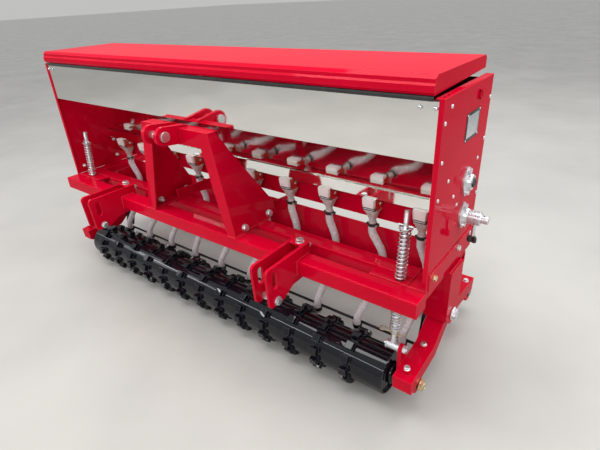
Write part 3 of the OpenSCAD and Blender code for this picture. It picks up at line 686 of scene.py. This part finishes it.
def coil_points(length, turns, low):
    """Centre line of a spring with closed, flat ends"""
    steps, ends = 28, 1.6
    points = []
    for turn in (i / steps for i in range(int(turns * steps) + 1)):
        rest = max(0.0, min(1.0, (turn - ends / 2) / (turns - ends)))
        height = WIRE_D / 2 + WIRE_D * (min(turn, ends / 2) + max(0.0, turn - turns + ends / 2))
        height += (length - WIRE_D * (1 + ends)) * rest
        angle = 2 * math.pi * turn
        points.append(Vector((COIL_R * math.cos(angle), COIL_R * math.sin(angle), low + height)))
    return points


def add_springs():
    for name, low, turns in (("upper_springs", SPRING_SEAT, 13.5),
                             ("lower_springs", -CORNER_T - SPRING_L, 16)):
        mesh = bmesh.new()
        for side in SIDES:
            line = [on_rod(side, p) for p in coil_points(SPRING_L - SPRING_SEAT, turns, low)]
            pipe(mesh, line, WIRE_D / 2, 10)
        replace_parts(piece(name + "_wire", mesh, ZINC), name)


def add_hairpins():
    """A cotter through each rod, with a straight leg, a loop inside and a leg that grips the rod"""
    mesh = bmesh.new()
    leg = ((30, 0), (0, 0), (-24, 0), (-33, 2), (-38, 8), (-35, 15), (-28, 16), (-22, 11), (-12, 8),
           (-5, 10.4), (0, 11.2), (5, 10.4), (12, 9), (26, 15))
    for side in SIDES:
        line = [on_rod(side, (x, -y, HAIRPIN_Z - 0.12 * x)) for x, y in leg]
        pipe(mesh, smooth_line(line, 5), 1.5, 8)
    piece("hairpin_cotters", mesh, YELLOW)


def add_rod_details():
    mesh = bmesh.new()
    for side in SIDES:
        out = side * X
        # Splayed ends of the cross pin above the upper spring
        for end in SIDES:
            tip = ((end * 16, 0, 145.3), (end * 17.4, 0, 145), (end * 18.4, -0.8, 143.5),
                   (end * 18.8, -1.2, 141.8))
            pipe(mesh, smooth_line([on_rod(side, p) for p in tip], 4), 1.4, 8)
        # Collars on the rod's eye, then the washer and the nut of its bolt outside the arm's lug
        for x in (690, 723):
            lathe(mesh, at(side * x, *ROD_EYE), out,
                  [(0, 5), (0, 12.8), (0.8, 13.6), (4.2, 13.6), (5, 12.8), (5, 5)], 32)
        lathe(mesh, at(side * (ARM_X - 10), *ROD_EYE), out,
              [(10.1, 5), (10.1, 11.5), (11.6, 11.5), (11.6, 5)], 28)
        hex_head(mesh, at(side * (ARM_X + 1.6), *ROD_EYE), out, 19.5, 8)
        # Threaded top of the rod, and a chamfer on it
        ridges = [(0, 7)]
        for k in range(12):
            ridges += [(k * 2 + 1, 7.35), (k * 2 + 2, 6.9)]
        base = on_rod(side, (0, 0, 155))
        top = on_rod(side, (0, 0, 184))
        lathe(mesh, base, top - base, ridges + [(28.5, 7.05), (29.2, 5.6), (29.2, 0)], 28)
    piece("spring_rod_details", mesh, ZINC)


add_springs()
add_rod_details()
add_hairpins()


# Guide behind the front roller that the seed hoses end in: a thin bar with a ring for each hose

def add_tube_guide():
    mesh = bmesh.new()
    bar_x, bar_y, ring_h = 726, GUIDE_Y + 18, 12
    pipe(mesh, [at(side * bar_x, bar_y, GUIDE_Z + 6) for side in SIDES], 4.5, 16)
    for x in ROWS:
        lathe(mesh, at(x, GUIDE_Y, GUIDE_Z), Z,
              [(0, 12.1), (0, 14.4), (0.6, 15), (ring_h - 0.6, 15), (ring_h, 14.4), (ring_h, 12.1)], 32)
        box(mesh, (x - 6, bar_y - 5, GUIDE_Z + 1), (x + 6, bar_y - 1, GUIDE_Z + 11), 0.8)
    # Cheeks that carry the bar from the pivots
    outline = ((184, -300), (214, -300), (268, -124), (222, -124), (184, -270))
    for x in (-731.7, 725.7):
        prism(mesh, [at(x, y, z) for y, z in outline], X, 0, 6)
    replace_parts(piece("tube_guide_rings", mesh, BLACK), "tube_guide")


add_tube_guide()


# Seed meters: a metal housing, a chute with its clip, a funnel and a hose clamp for each row

# Height, half width and front of the chute, from its top down
CHUTE = ((121, 20, 217.5), (112, 19.8, 218), (98, 18.6, 219.6), (88, 17.4, 221.4), (82, 16.6, 223))
# Height, width where square, radius where round, and how square the funnel is, from its top down
FUNNEL = ((80, 43, 0, 1), (76, 43, 0, 1), (75.5, 39, 0, 1), (68, 36, 18, 0.8), (57, 28, 14, 0.5),
          (46, 21, 10.5, 0.1), (40, 20, 9.7, 0), (SPIGOT_Z, 20, 9.6, 0))
FLUTES = 12
COLLARS = 5
COLLAR_PITCH = 10.5


def add_housing(metal, sides, x):
    """Housing under the rail, with a side plate each side and the screw that holds it"""
    box(metal, (x - 16, 233, 82), (x + 16, 266, 121), 1.5)
    profile = ((224, 121), (227, 90), (236, 78), (264, 78), (268, 94), (268, 121))
    for side in SIDES:
        prism(sides, [at(x + side * 20 - 0.8, y, z) for y, z in profile], X, 0, 1.6)
        dome(metal, at(x + side * 20.9, 252, 98), side * X, 4, 2.4)


def add_chute(chute, wires, x):
    """White chute in front of the housing, with rims down its sides and two wires of its clip"""
    rings = []
    for z, wide, front in CHUTE:
        corners = ((-1, 234), (-1, front + 3), (-0.93, front + 0.8), (-0.8, front), (0.8, front),
                   (0.93, front + 0.8), (1, front + 3), (1, 234))
        rings.append([chute.verts.new(at(x + a * wide, y, z)) for a, y in corners])
    skin(chute, rings)
    for side in SIDES:
        rim = ((17.2, 217, 120.5), (16.6, 218, 104), (14.6, 220.6, 89))
        pipe(chute, [at(x + side * a, y, z) for a, y, z in rim], 1.2, 8)
    for z, wide, front in ((92, 18.2, 219.8), (86, 17.6, 220.8)):
        loop = ((-1, 240), (-1.02, front + 2), (-0.9, front), (0.9, front), (1.02, front + 2), (1, 240))
        pipe(wires, [at(x + a * wide, y, z) for a, y in loop], 1.3, 8)


def funnel_ring(mesh, centre, across, r, square):
    """One level of a funnel, from square (1) to round (0)"""
    sides = 32
    ring = []
    for k in range(sides):
        a = 2 * math.pi * (k + 0.5) / sides
        c, s = math.cos(a), math.sin(a)
        flat = across / 2 / (abs(c) ** 7 + abs(s) ** 7) ** (1 / 7)
        radius = (flat * square + r * (1 - square)) / 1000
        ring.append(mesh.verts.new(centre + X * c * radius + Y * s * radius))
    return ring


def add_funnel(mesh, x):
    """Funnel with a square flange on top and a short neck that the hose is pushed over"""
    skin(mesh, [funnel_ring(mesh, at(x, METER_Y, z), across, r, square)
                for z, across, r, square in FUNNEL])
    lathe(mesh, at(x, METER_Y, 40), -Z, [(0, 9.6), (0, 11.6), (1, 12), (16, 12), (16, 9.6)], 28)


def add_hose_clamp(clamp, metal, x):
    """Clamp round the top of the hose, with its two lugs and screw"""
    lathe(clamp, at(x, METER_Y, 34), -Z,
          [(0, HOSE_R), (0, 13.2), (0.6, 13.7), (9.4, 13.7), (10, 13.2), (10, HOSE_R)], 32)
    low, high = 25, 33
    for y in (METER_Y - 5.5, METER_Y + 2.5):
        box(clamp, (x + 11, y, low), (x + 20, y + 3, high), 0.8)
    box(clamp, (x - 18, METER_Y - 6, low), (x - 11.5, METER_Y + 1, high), 1)
    screw = at(x + 16, METER_Y - 9, 29)
    pipe(metal, [screw, at(x + 16, METER_Y + 9, 29)], 2, 10)
    hex_head(metal, screw, -Y, 6.5, 3)


def add_sleeve(mesh, x):
    """Fluted sleeve with its collars, on the shaft beside the meter"""
    start, corners = x + 21, 4 * FLUTES
    ring = []
    for k in range(corners):
        a = 2 * math.pi * k / corners
        r = 13.4 if k % 4 < 2 else 11.6
        ring.append(at(start, SHAFT[0] + r * math.cos(a), SHAFT[1] + r * math.sin(a)))
    prism(mesh, ring, X, 0, 46)
    for k in range(COLLARS):
        lathe(mesh, at(start + COLLAR_PITCH * k, *SHAFT), X,
              [(0, 10.2), (0, 14), (0.5, 14.4), (3, 14.4), (3.5, 14), (3.5, 10.2)], 40)


def add_meters():
    chute, funnel, metal, clamp = bmesh.new(), bmesh.new(), bmesh.new(), bmesh.new()
    fluted, sides = bmesh.new(), bmesh.new()
    for x in ROWS:
        add_housing(metal, sides, x)
        add_chute(chute, clamp, x)
        add_funnel(funnel, x)
        add_hose_clamp(clamp, metal, x)
        add_sleeve(fluted, x)
    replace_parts(piece("meter_chutes", chute, WHITE), "seed_meters")
    piece("meter_funnels", funnel, CLEAR, smooth=50)
    piece("meter_metal", metal, ZINC)
    piece("meter_sides", sides, YELLOW)
    piece("hose_clamps", clamp, RUBBER)
    piece("fluted_sleeves", fluted, RUBBER, body="metering_shaft", smooth=30)


add_meters()


# Flange bearings on the end plates

# Radii of a flange's round middle and of its ears, and how far the ears' bolts are from the middle
FLANGE_R = 25
EAR_R = 10.5
SHAFT_REACH = 26
AGITATOR_REACH = 28


def flange(reach):
    """Outline in Y and Z of a flange with a round middle and an ear above and below"""
    sides = 96
    out = []
    for k in range(sides):
        a = 2 * math.pi * k / sides
        ear = max((-1, 0, 1), key=lambda e: e * reach * math.sin(a) + (EAR_R if e else FLANGE_R))
        radius = EAR_R if ear else FLANGE_R
        out.append((radius * math.cos(a), ear * reach + radius * math.sin(a)))
    return out


def add_bearing(mesh, side, axis, reach, bore_r):
    centre, out = at(side * HALF, *axis), side * X
    # The flange's outer edge is rounded in three steps
    levels = ((0, 1), (5.2, 1), (6, 0.97), (6.4, 0.9))
    skin(mesh, [[mesh.verts.new(centre + out * x / 1000 + Vector((0, a * k, b * k)) / 1000)
                 for a, b in flange(reach)] for x, k in levels])
    lathe(mesh, centre, out,
          [(6.2, 22.5), (8, 21), (16, 19.6), (18.2, 19), (19, 18), (19, 14.6), (17.4, 14),
           (17.4, 12.6), (19.6, 12.4), (19.6, bore_r), (6.2, bore_r)], 48)
    for way in SIDES:
        bolt(mesh, at(side * (HALF + 6.2), axis[0], axis[1] + way * reach), out, 7.5)
    # Grease nipple on the housing
    up = Vector((0, -0.5, 0.866))
    lathe(mesh, centre + out * 0.013 + up * 0.0195, up,
          [(0, 3), (2.5, 3), (2.5, 2), (4.5, 2.3), (6, 1.4), (6, 0)], 16)


def add_bearings():
    for name, axis, reach, bore_r in (("metering_bearings", SHAFT, SHAFT_REACH, 10.1),
                                      ("agitator_bearings", AGITATOR, AGITATOR_REACH, 8.1)):
        mesh = bmesh.new()
        for side in SIDES:
            add_bearing(mesh, side, axis, reach, bore_r)
        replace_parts(piece(name + "_cast", mesh, ZINC), name)


add_bearings()


# Covers of the drive cases on the left, with their screws and hubs

# X of the outer faces of the two cases, and how far they are set back under their covers
LOWER_CASE_X = -823
UPPER_CASE_X = -852
SET_BACK = 6


def belt(circles, inset):
    """Outline round circles of (y, z, r), drawn in by inset"""
    sides = 72
    points = [Vector((y + (r - inset) * math.cos(a), z + (r - inset) * math.sin(a)))
              for y, z, r in circles for a in (2 * math.pi * k / sides for k in range(sides))]
    return [points[i] for i in convex_hull_2d(points)]


def spaced(outline, gap):
    """Points at even steps round a closed outline"""
    ends = outline[1:] + outline[:1]
    total = sum((b - a).length for a, b in zip(outline, ends))
    count = round(total / gap)
    out, gone = [], 0.0
    for a, b in zip(outline, ends):
        length = (b - a).length
        while len(out) < count and len(out) * total / count < gone + length:
            out.append(a.lerp(b, (len(out) * total / count - gone) / length))
        gone += length
    return out


def add_case_covers():
    covers, screws = bmesh.new(), bmesh.new()
    pivot, rear, shaft, agitator = (*PIVOT, 34), (*REAR_AXIS, 46), (*SHAFT, 46), (*AGITATOR, 30)
    for name, face, circles, hubs in (
            ("lower_drive_case", LOWER_CASE_X, (pivot, rear), (rear,)),
            ("upper_drive_case", UPPER_CASE_X, (pivot, shaft, agitator), (pivot, shaft))):
        # The case's own outer face is set back, and the cover stands on it
        for v in CASES[name].data.vertices:
            if v.co.x < (face + 4) / 1000:
                v.co.x += SET_BACK / 1000
        base = face + SET_BACK
        prism(covers, [at(base, *p) for p in belt(circles, 5)], -X, -0.2, 2.4)
        prism(covers, [at(base, *p) for p in belt(circles, 19)], -X, 2, 1.2)
        for p in spaced(belt(circles, 12), 74):
            dome(screws, at(base - 2.2, *p), -X, 4.4, 2.6)
        for y, z, _ in hubs:
            lathe(covers, at(base, y, z), -X, [(3, 25), (4.4, 24), (5.6, 22), (5.8, 0)], 48)
            for a in (2 * math.pi * (k + 0.25) / 3 for k in range(3)):
                dome(screws, at(base - 5, y + 18 * math.cos(a), z + 18 * math.sin(a)), -X, 2.6, 0.9)
    piece("case_covers", covers, RED)
    piece("case_screws", screws, ZINC)


add_case_covers()


# Seals, guard, blank plate and knob

def add_seals():
    """Seal under the lid's front, plugs in the arms' rear ends and caps over the agitator's ends"""
    mesh = bmesh.new()
    box(mesh, (-762, 43.5, 445.5), (762, 49.8, 455), 1.2)
    for side in SIDES:
        x = side * ARM_MID
        box(mesh, (x - 21, 452.5, -221), (x + 21, 456, -191), 1.6)
        box(mesh, (x - 12, 455, -212), (x + 12, 461, -200), 3)
        lathe(mesh, at(side * (HALF + 19), *AGITATOR), side * X,
              [(0.2, 8.6), (0.2, 12.2), (4.2, 11.6), (4.8, 10.8), (4.8, 8), (3.6, 7), (3.6, 0)], 36)
    piece("seals_and_plugs", mesh, RUBBER)


def add_guard():
    """Folded guard behind the meters, held by the end plates"""
    mesh = bmesh.new()
    outline = ((270, 101), (277, 101), (277, 38), (275, 38), (275, 99), (270, 99))
    prism(mesh, [at(0, y, z) for y, z in outline], X, 3.1 - HALF, 2 * HALF - 6.2)
    piece("meter_guard", mesh, RED)


def add_blank_plate():
    """Blank plate with four rivets in a dark edge, on the right end plate"""
    edge, face = bmesh.new(), bmesh.new()
    box(edge, (HALF + 0.1, 193, 326), (HALF + 0.9, 282, 391), 0.2)
    box(face, (HALF + 0.6, 200, 333), (HALF + 1.3, 275, 384), 0.2)
    for y in (197, 278):
        for z in (330, 387):
            dome(face, at(HALF + 0.8, y, z), X, 2.6, 1.5)
    piece("blank_plate_edge", edge, RUBBER)
    piece("blank_plate", face, ZINC)


def add_knob():
    """Three-lobed knob with a waist under its crown"""
    mesh = bmesh.new()
    rings = []
    for z, scale in ((58, 0.55), (58.6, 0.78), (60, 0.92), (63, 1), (70, 1), (73.5, 0.93), (75.2, 0.78),
                     (76, 0.5)):
        ring = []
        for a in (2 * math.pi * k / 48 for k in range(48)):
            r = (9.6 + 3.9 * math.cos(3 * (a - math.pi / 2))) * scale
            ring.append(mesh.verts.new(at(HALF + 35 + r * math.cos(a), SHAFT[0] + r * math.sin(a), z)))
        rings.append(ring)
    skin(mesh, rings)
    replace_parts(piece("star_knob", mesh, RUBBER, smooth=50), "knob")


add_seals()
add_guard()
add_blank_plate()
add_knob()


# Weld seams where the frame's pieces meet

def weld(mesh, points, r=2.6):
    """A seam along points in mm, uneven as it is laid bead by bead"""
    rng = random.Random(len(mesh.verts))
    bead = 3.2
    line = []
    for a, b in zip(points, points[1:]):
        a, b = at(*a), at(*b)
        n = max(2, int((b - a).length * 1000 / bead))
        line += [a.lerp(b, k / n) for k in range(n)]
    line.append(at(*points[-1]))
    rings = []
    for i, (p, d) in enumerate(zip(line, headings(line))):
        fat = r * (0.86 + 0.2 * (i % 2) + 0.14 * rng.random()) / 1000
        rings.append([mesh.verts.new(p + spoke * fat) for spoke in spokes(*around(d), 8)])
    skin(mesh, rings)


def add_welds():
    mesh = bmesh.new()
    inner = HALF - 50
    plate = inner - 104
    for s in SIDES:
        # Side members on the front beam, the beams' ends, and the corner plates
        weld(mesh, [(s * inner, 56.5, -1), (s * HALF, 56.5, -1)], 2.2)
        weld(mesh, [(s * inner, 56, -44), (s * inner, 56, -26)])
        weld(mesh, [(s * inner, 101, -3), (s * inner, 101, -24)])
        weld(mesh, [(s * inner, 149, -3), (s * inner, 149, -24)])
        weld(mesh, [(s * plate, 56.5, -0.5), (s * inner, 56.5, -0.5)], 1.8)
        weld(mesh, [(s * plate, 99.5, -0.5), (s * inner, 99.5, -0.5)], 1.8)
        # Mast feet on the two beams
        weld(mesh, [(s * 177, -0.2, 0.6), (s * 211, -0.2, 0.6)], 2.2)
        weld(mesh, [(s * 211.5, 2, 0.6), (s * 211.5, 54, 0.6)], 2.4)
        weld(mesh, [(s * 211.5, 102, 0.6), (s * 211.5, 148, 0.6)], 2.4)
        # Lower brackets on the front beam
        for x in (HITCH_X - 28, HITCH_X + 28):
            weld(mesh, [(s * x, 0, 0.5), (s * x, 54, 0.5)], 2.2)
            weld(mesh, [(s * x, -0.5, -1), (s * x, -0.5, -45)], 2.2)
        # Posts under the side members
        weld(mesh, [(s * 732, 198, -25.5), (s * 732, 288, -25.5)])
        weld(mesh, [(s * 790, 198, -25.5), (s * 790, 288, -25.5)], 2.2)
    piece("weld_seams", mesh, RED, smooth=60)


add_welds()


# Fasteners

# How far the mast's plates lean in for each unit of height
MAST_LEAN = 0.198


def end_plate_bolts(mesh, s):
    """Round heads and bolts on an end plate, and the nuts inside it with those of its bearings"""
    out = s * X
    for y, z in ((59, 402), (63, 320), (63, 235), (116, 262), (163, 208), (194, 175), (89, 430), (317, 256),
                 (350, 298), (350, 400), (350, 150)):
        dome(mesh, at(s * HALF, y, z), out, 4.6, 3)
    for y in (245, 340):
        bolt(mesh, at(s * (HALF + 3), y, 30), out, 8)
    nuts = [(85, 27, 8), (245, 30, 8), (340, 30, 8)]
    for (y, z), reach in ((SHAFT, SHAFT_REACH), (AGITATOR, AGITATOR_REACH)):
        nuts += [(y, z + way * reach, 7.5) for way in SIDES]
    for y, z, d in nuts:
        bolt(mesh, at(s * (HALF - 3), y, z), -out, d, stud=4)


def hitch_bolts(mesh, s):
    """Mast bolts with heads outside and nuts inside, and the clamp bolts of a lower bracket"""
    out = Vector((s, 0, 0.195))
    for y, z in ((45, 17), (157, 20)):
        inset = MAST_LEAN * z
        bolt(mesh, at(s * (211.3 - inset), y, z), out, 12)
        bolt(mesh, at(s * (204.6 - inset), y, z), -out, 12, stud=7)
    for dx in (-20, 20):
        for z in (18, -56):
            bolt(mesh, at(s * HITCH_X + dx, 62, z), Y, 9, stud=5)
    bolt(mesh, at(s * (HITCH_X + 4), 48, 31), Z, 12)


def arm_bolts(mesh, s):
    """Bolts of the front roller's bearings and the drop brackets, and two on top of the rear arm"""
    for y in (26, 134):
        bolt(mesh, at(s * ARM_MID, y, -231.3), Z, 8.5)
        bolt(mesh, at(s * ARM_MID, y, -297), -Z, 8.5, stud=5)
    for y in (382, 424):
        bolt(mesh, at(s * 730, y, -203), -s * X, 12)
    for x in (751, 777):
        bolt(mesh, at(s * x, 417, -181), Vector((0, 0.106, 1)), 8.5)


def panel_screws(mesh, s):
    """Screws of the front panel, of the rear panel's flange and of the rear panel"""
    for x in (735, 767):
        dome(mesh, at(s * x, 50, 432), -Y, 5, 3.4)
    for z in (60, 120, 300, 400):
        dome(mesh, at(s * 779, 358, z), Y, 4.4, 3)
    for x in (380, 740):
        dome(mesh, at(s * x, 355.1, 430), Y, 5, 3.2)


def add_fasteners():
    silver, gold = bmesh.new(), bmesh.new()
    for s in SIDES:
        end_plate_bolts(silver, s)
        hitch_bolts(silver, s)
        arm_bolts(silver, s)
        panel_screws(silver, s)
        bolt(gold, at(s * (HALF + 3), 85, 27), s * X, 8)
    piece("bolts", silver, ZINC)
    piece("bolts_gold", gold, YELLOW)


def add_tabs():
    """Red tab behind each lower bracket, for its upright bolt, and a square eye on each end plate"""
    mesh = bmesh.new()
    for s in SIDES:
        box(mesh, (s * HITCH_X - 20, 33, 25), (s * HITCH_X + 20, 57, 31), 1.2)
    for s in SIDES:
        a, b = sorted((s * HALF, s * (HALF + 5)))
        for low, high in (((260, 411), (276, 415)), ((260, 427), (276, 431)), ((260, 411), (264, 431)),
                          ((272, 411), (276, 431))):
            box(mesh, (a, *low), (b, *high), 1)
    piece("bracket_tabs", mesh, RED)


def add_pivot_pins():
    """Pins that the arms turn on, each with a collar and a nut inside and a nut outside on the right"""
    mesh = bmesh.new()
    for s in SIDES:
        out = s * X
        lathe(mesh, at(s * 714, *PIVOT), out, [(0, 0), (0, 10), (82, 10), (82, 0)], 40)
        lathe(mesh, at(s * 716, *PIVOT), out, [(3.7, 10), (3.7, 19), (6.7, 19), (6.7, 10)], 40)
        hex_head(mesh, at(s * 719.5, *PIVOT), -out, 28, 9.5)
    lathe(mesh, at(796.4, *PIVOT), X,
          [(0, 10), (0, 20), (0.6, 20.4), (2.6, 20.4), (3.2, 19.8), (3.2, 10)], 44)
    hex_head(mesh, at(799.5, *PIVOT), X, 27, 11)
    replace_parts(piece("pivot_bolts", mesh, ZINC), "pivot_pins")


def add_stop_pins():
    """Pins across the lower brackets, with a spacer between the plates and a nut on each end"""
    mesh = bmesh.new()
    for s in SIDES:
        centre = at(s * HITCH_X, *STOP_PIN)
        lathe(mesh, centre, X, [(-36, 0), (-36, 7), (36, 7), (36, 0)], 32)
        lathe(mesh, centre, X, [(-19.4, 7), (-19.4, 10), (19.4, 10), (19.4, 7)], 32)
        for way in (-X, X):
            lathe(mesh, centre + way * 0.0281, way, [(0, 7), (0, 13.4), (1.6, 13.4), (1.6, 7)], 32)
            hex_head(mesh, centre + way * 0.0297, way, 19, 7)
    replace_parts(piece("stop_bolts", mesh, ZINC), "stop_pins")


def add_roller_nuts():
    """Castle nuts on the front roller's shaft, which turn with it"""
    mesh = bmesh.new()
    for s in SIDES:
        nose, out = at(s * 790.5, *FRONT_AXIS), s * X
        lathe(mesh, nose, out, [(0, 9), (0, 15.4), (0.8, 16), (2.2, 16), (3, 15.4), (3, 9)], 40)
        hex_head(mesh, nose + out * 0.003, out, 25.5, 8)
        lathe(mesh, nose, out, [(10.5, 10.6), (12.5, 9.8), (12.9, 7), (11.8, 6), (11.8, 0)], 32)
    piece("roller_nuts", mesh, YELLOW, body="front_roller")


add_fasteners()
add_tabs()
add_pivot_pins()
add_stop_pins()
add_roller_nuts()
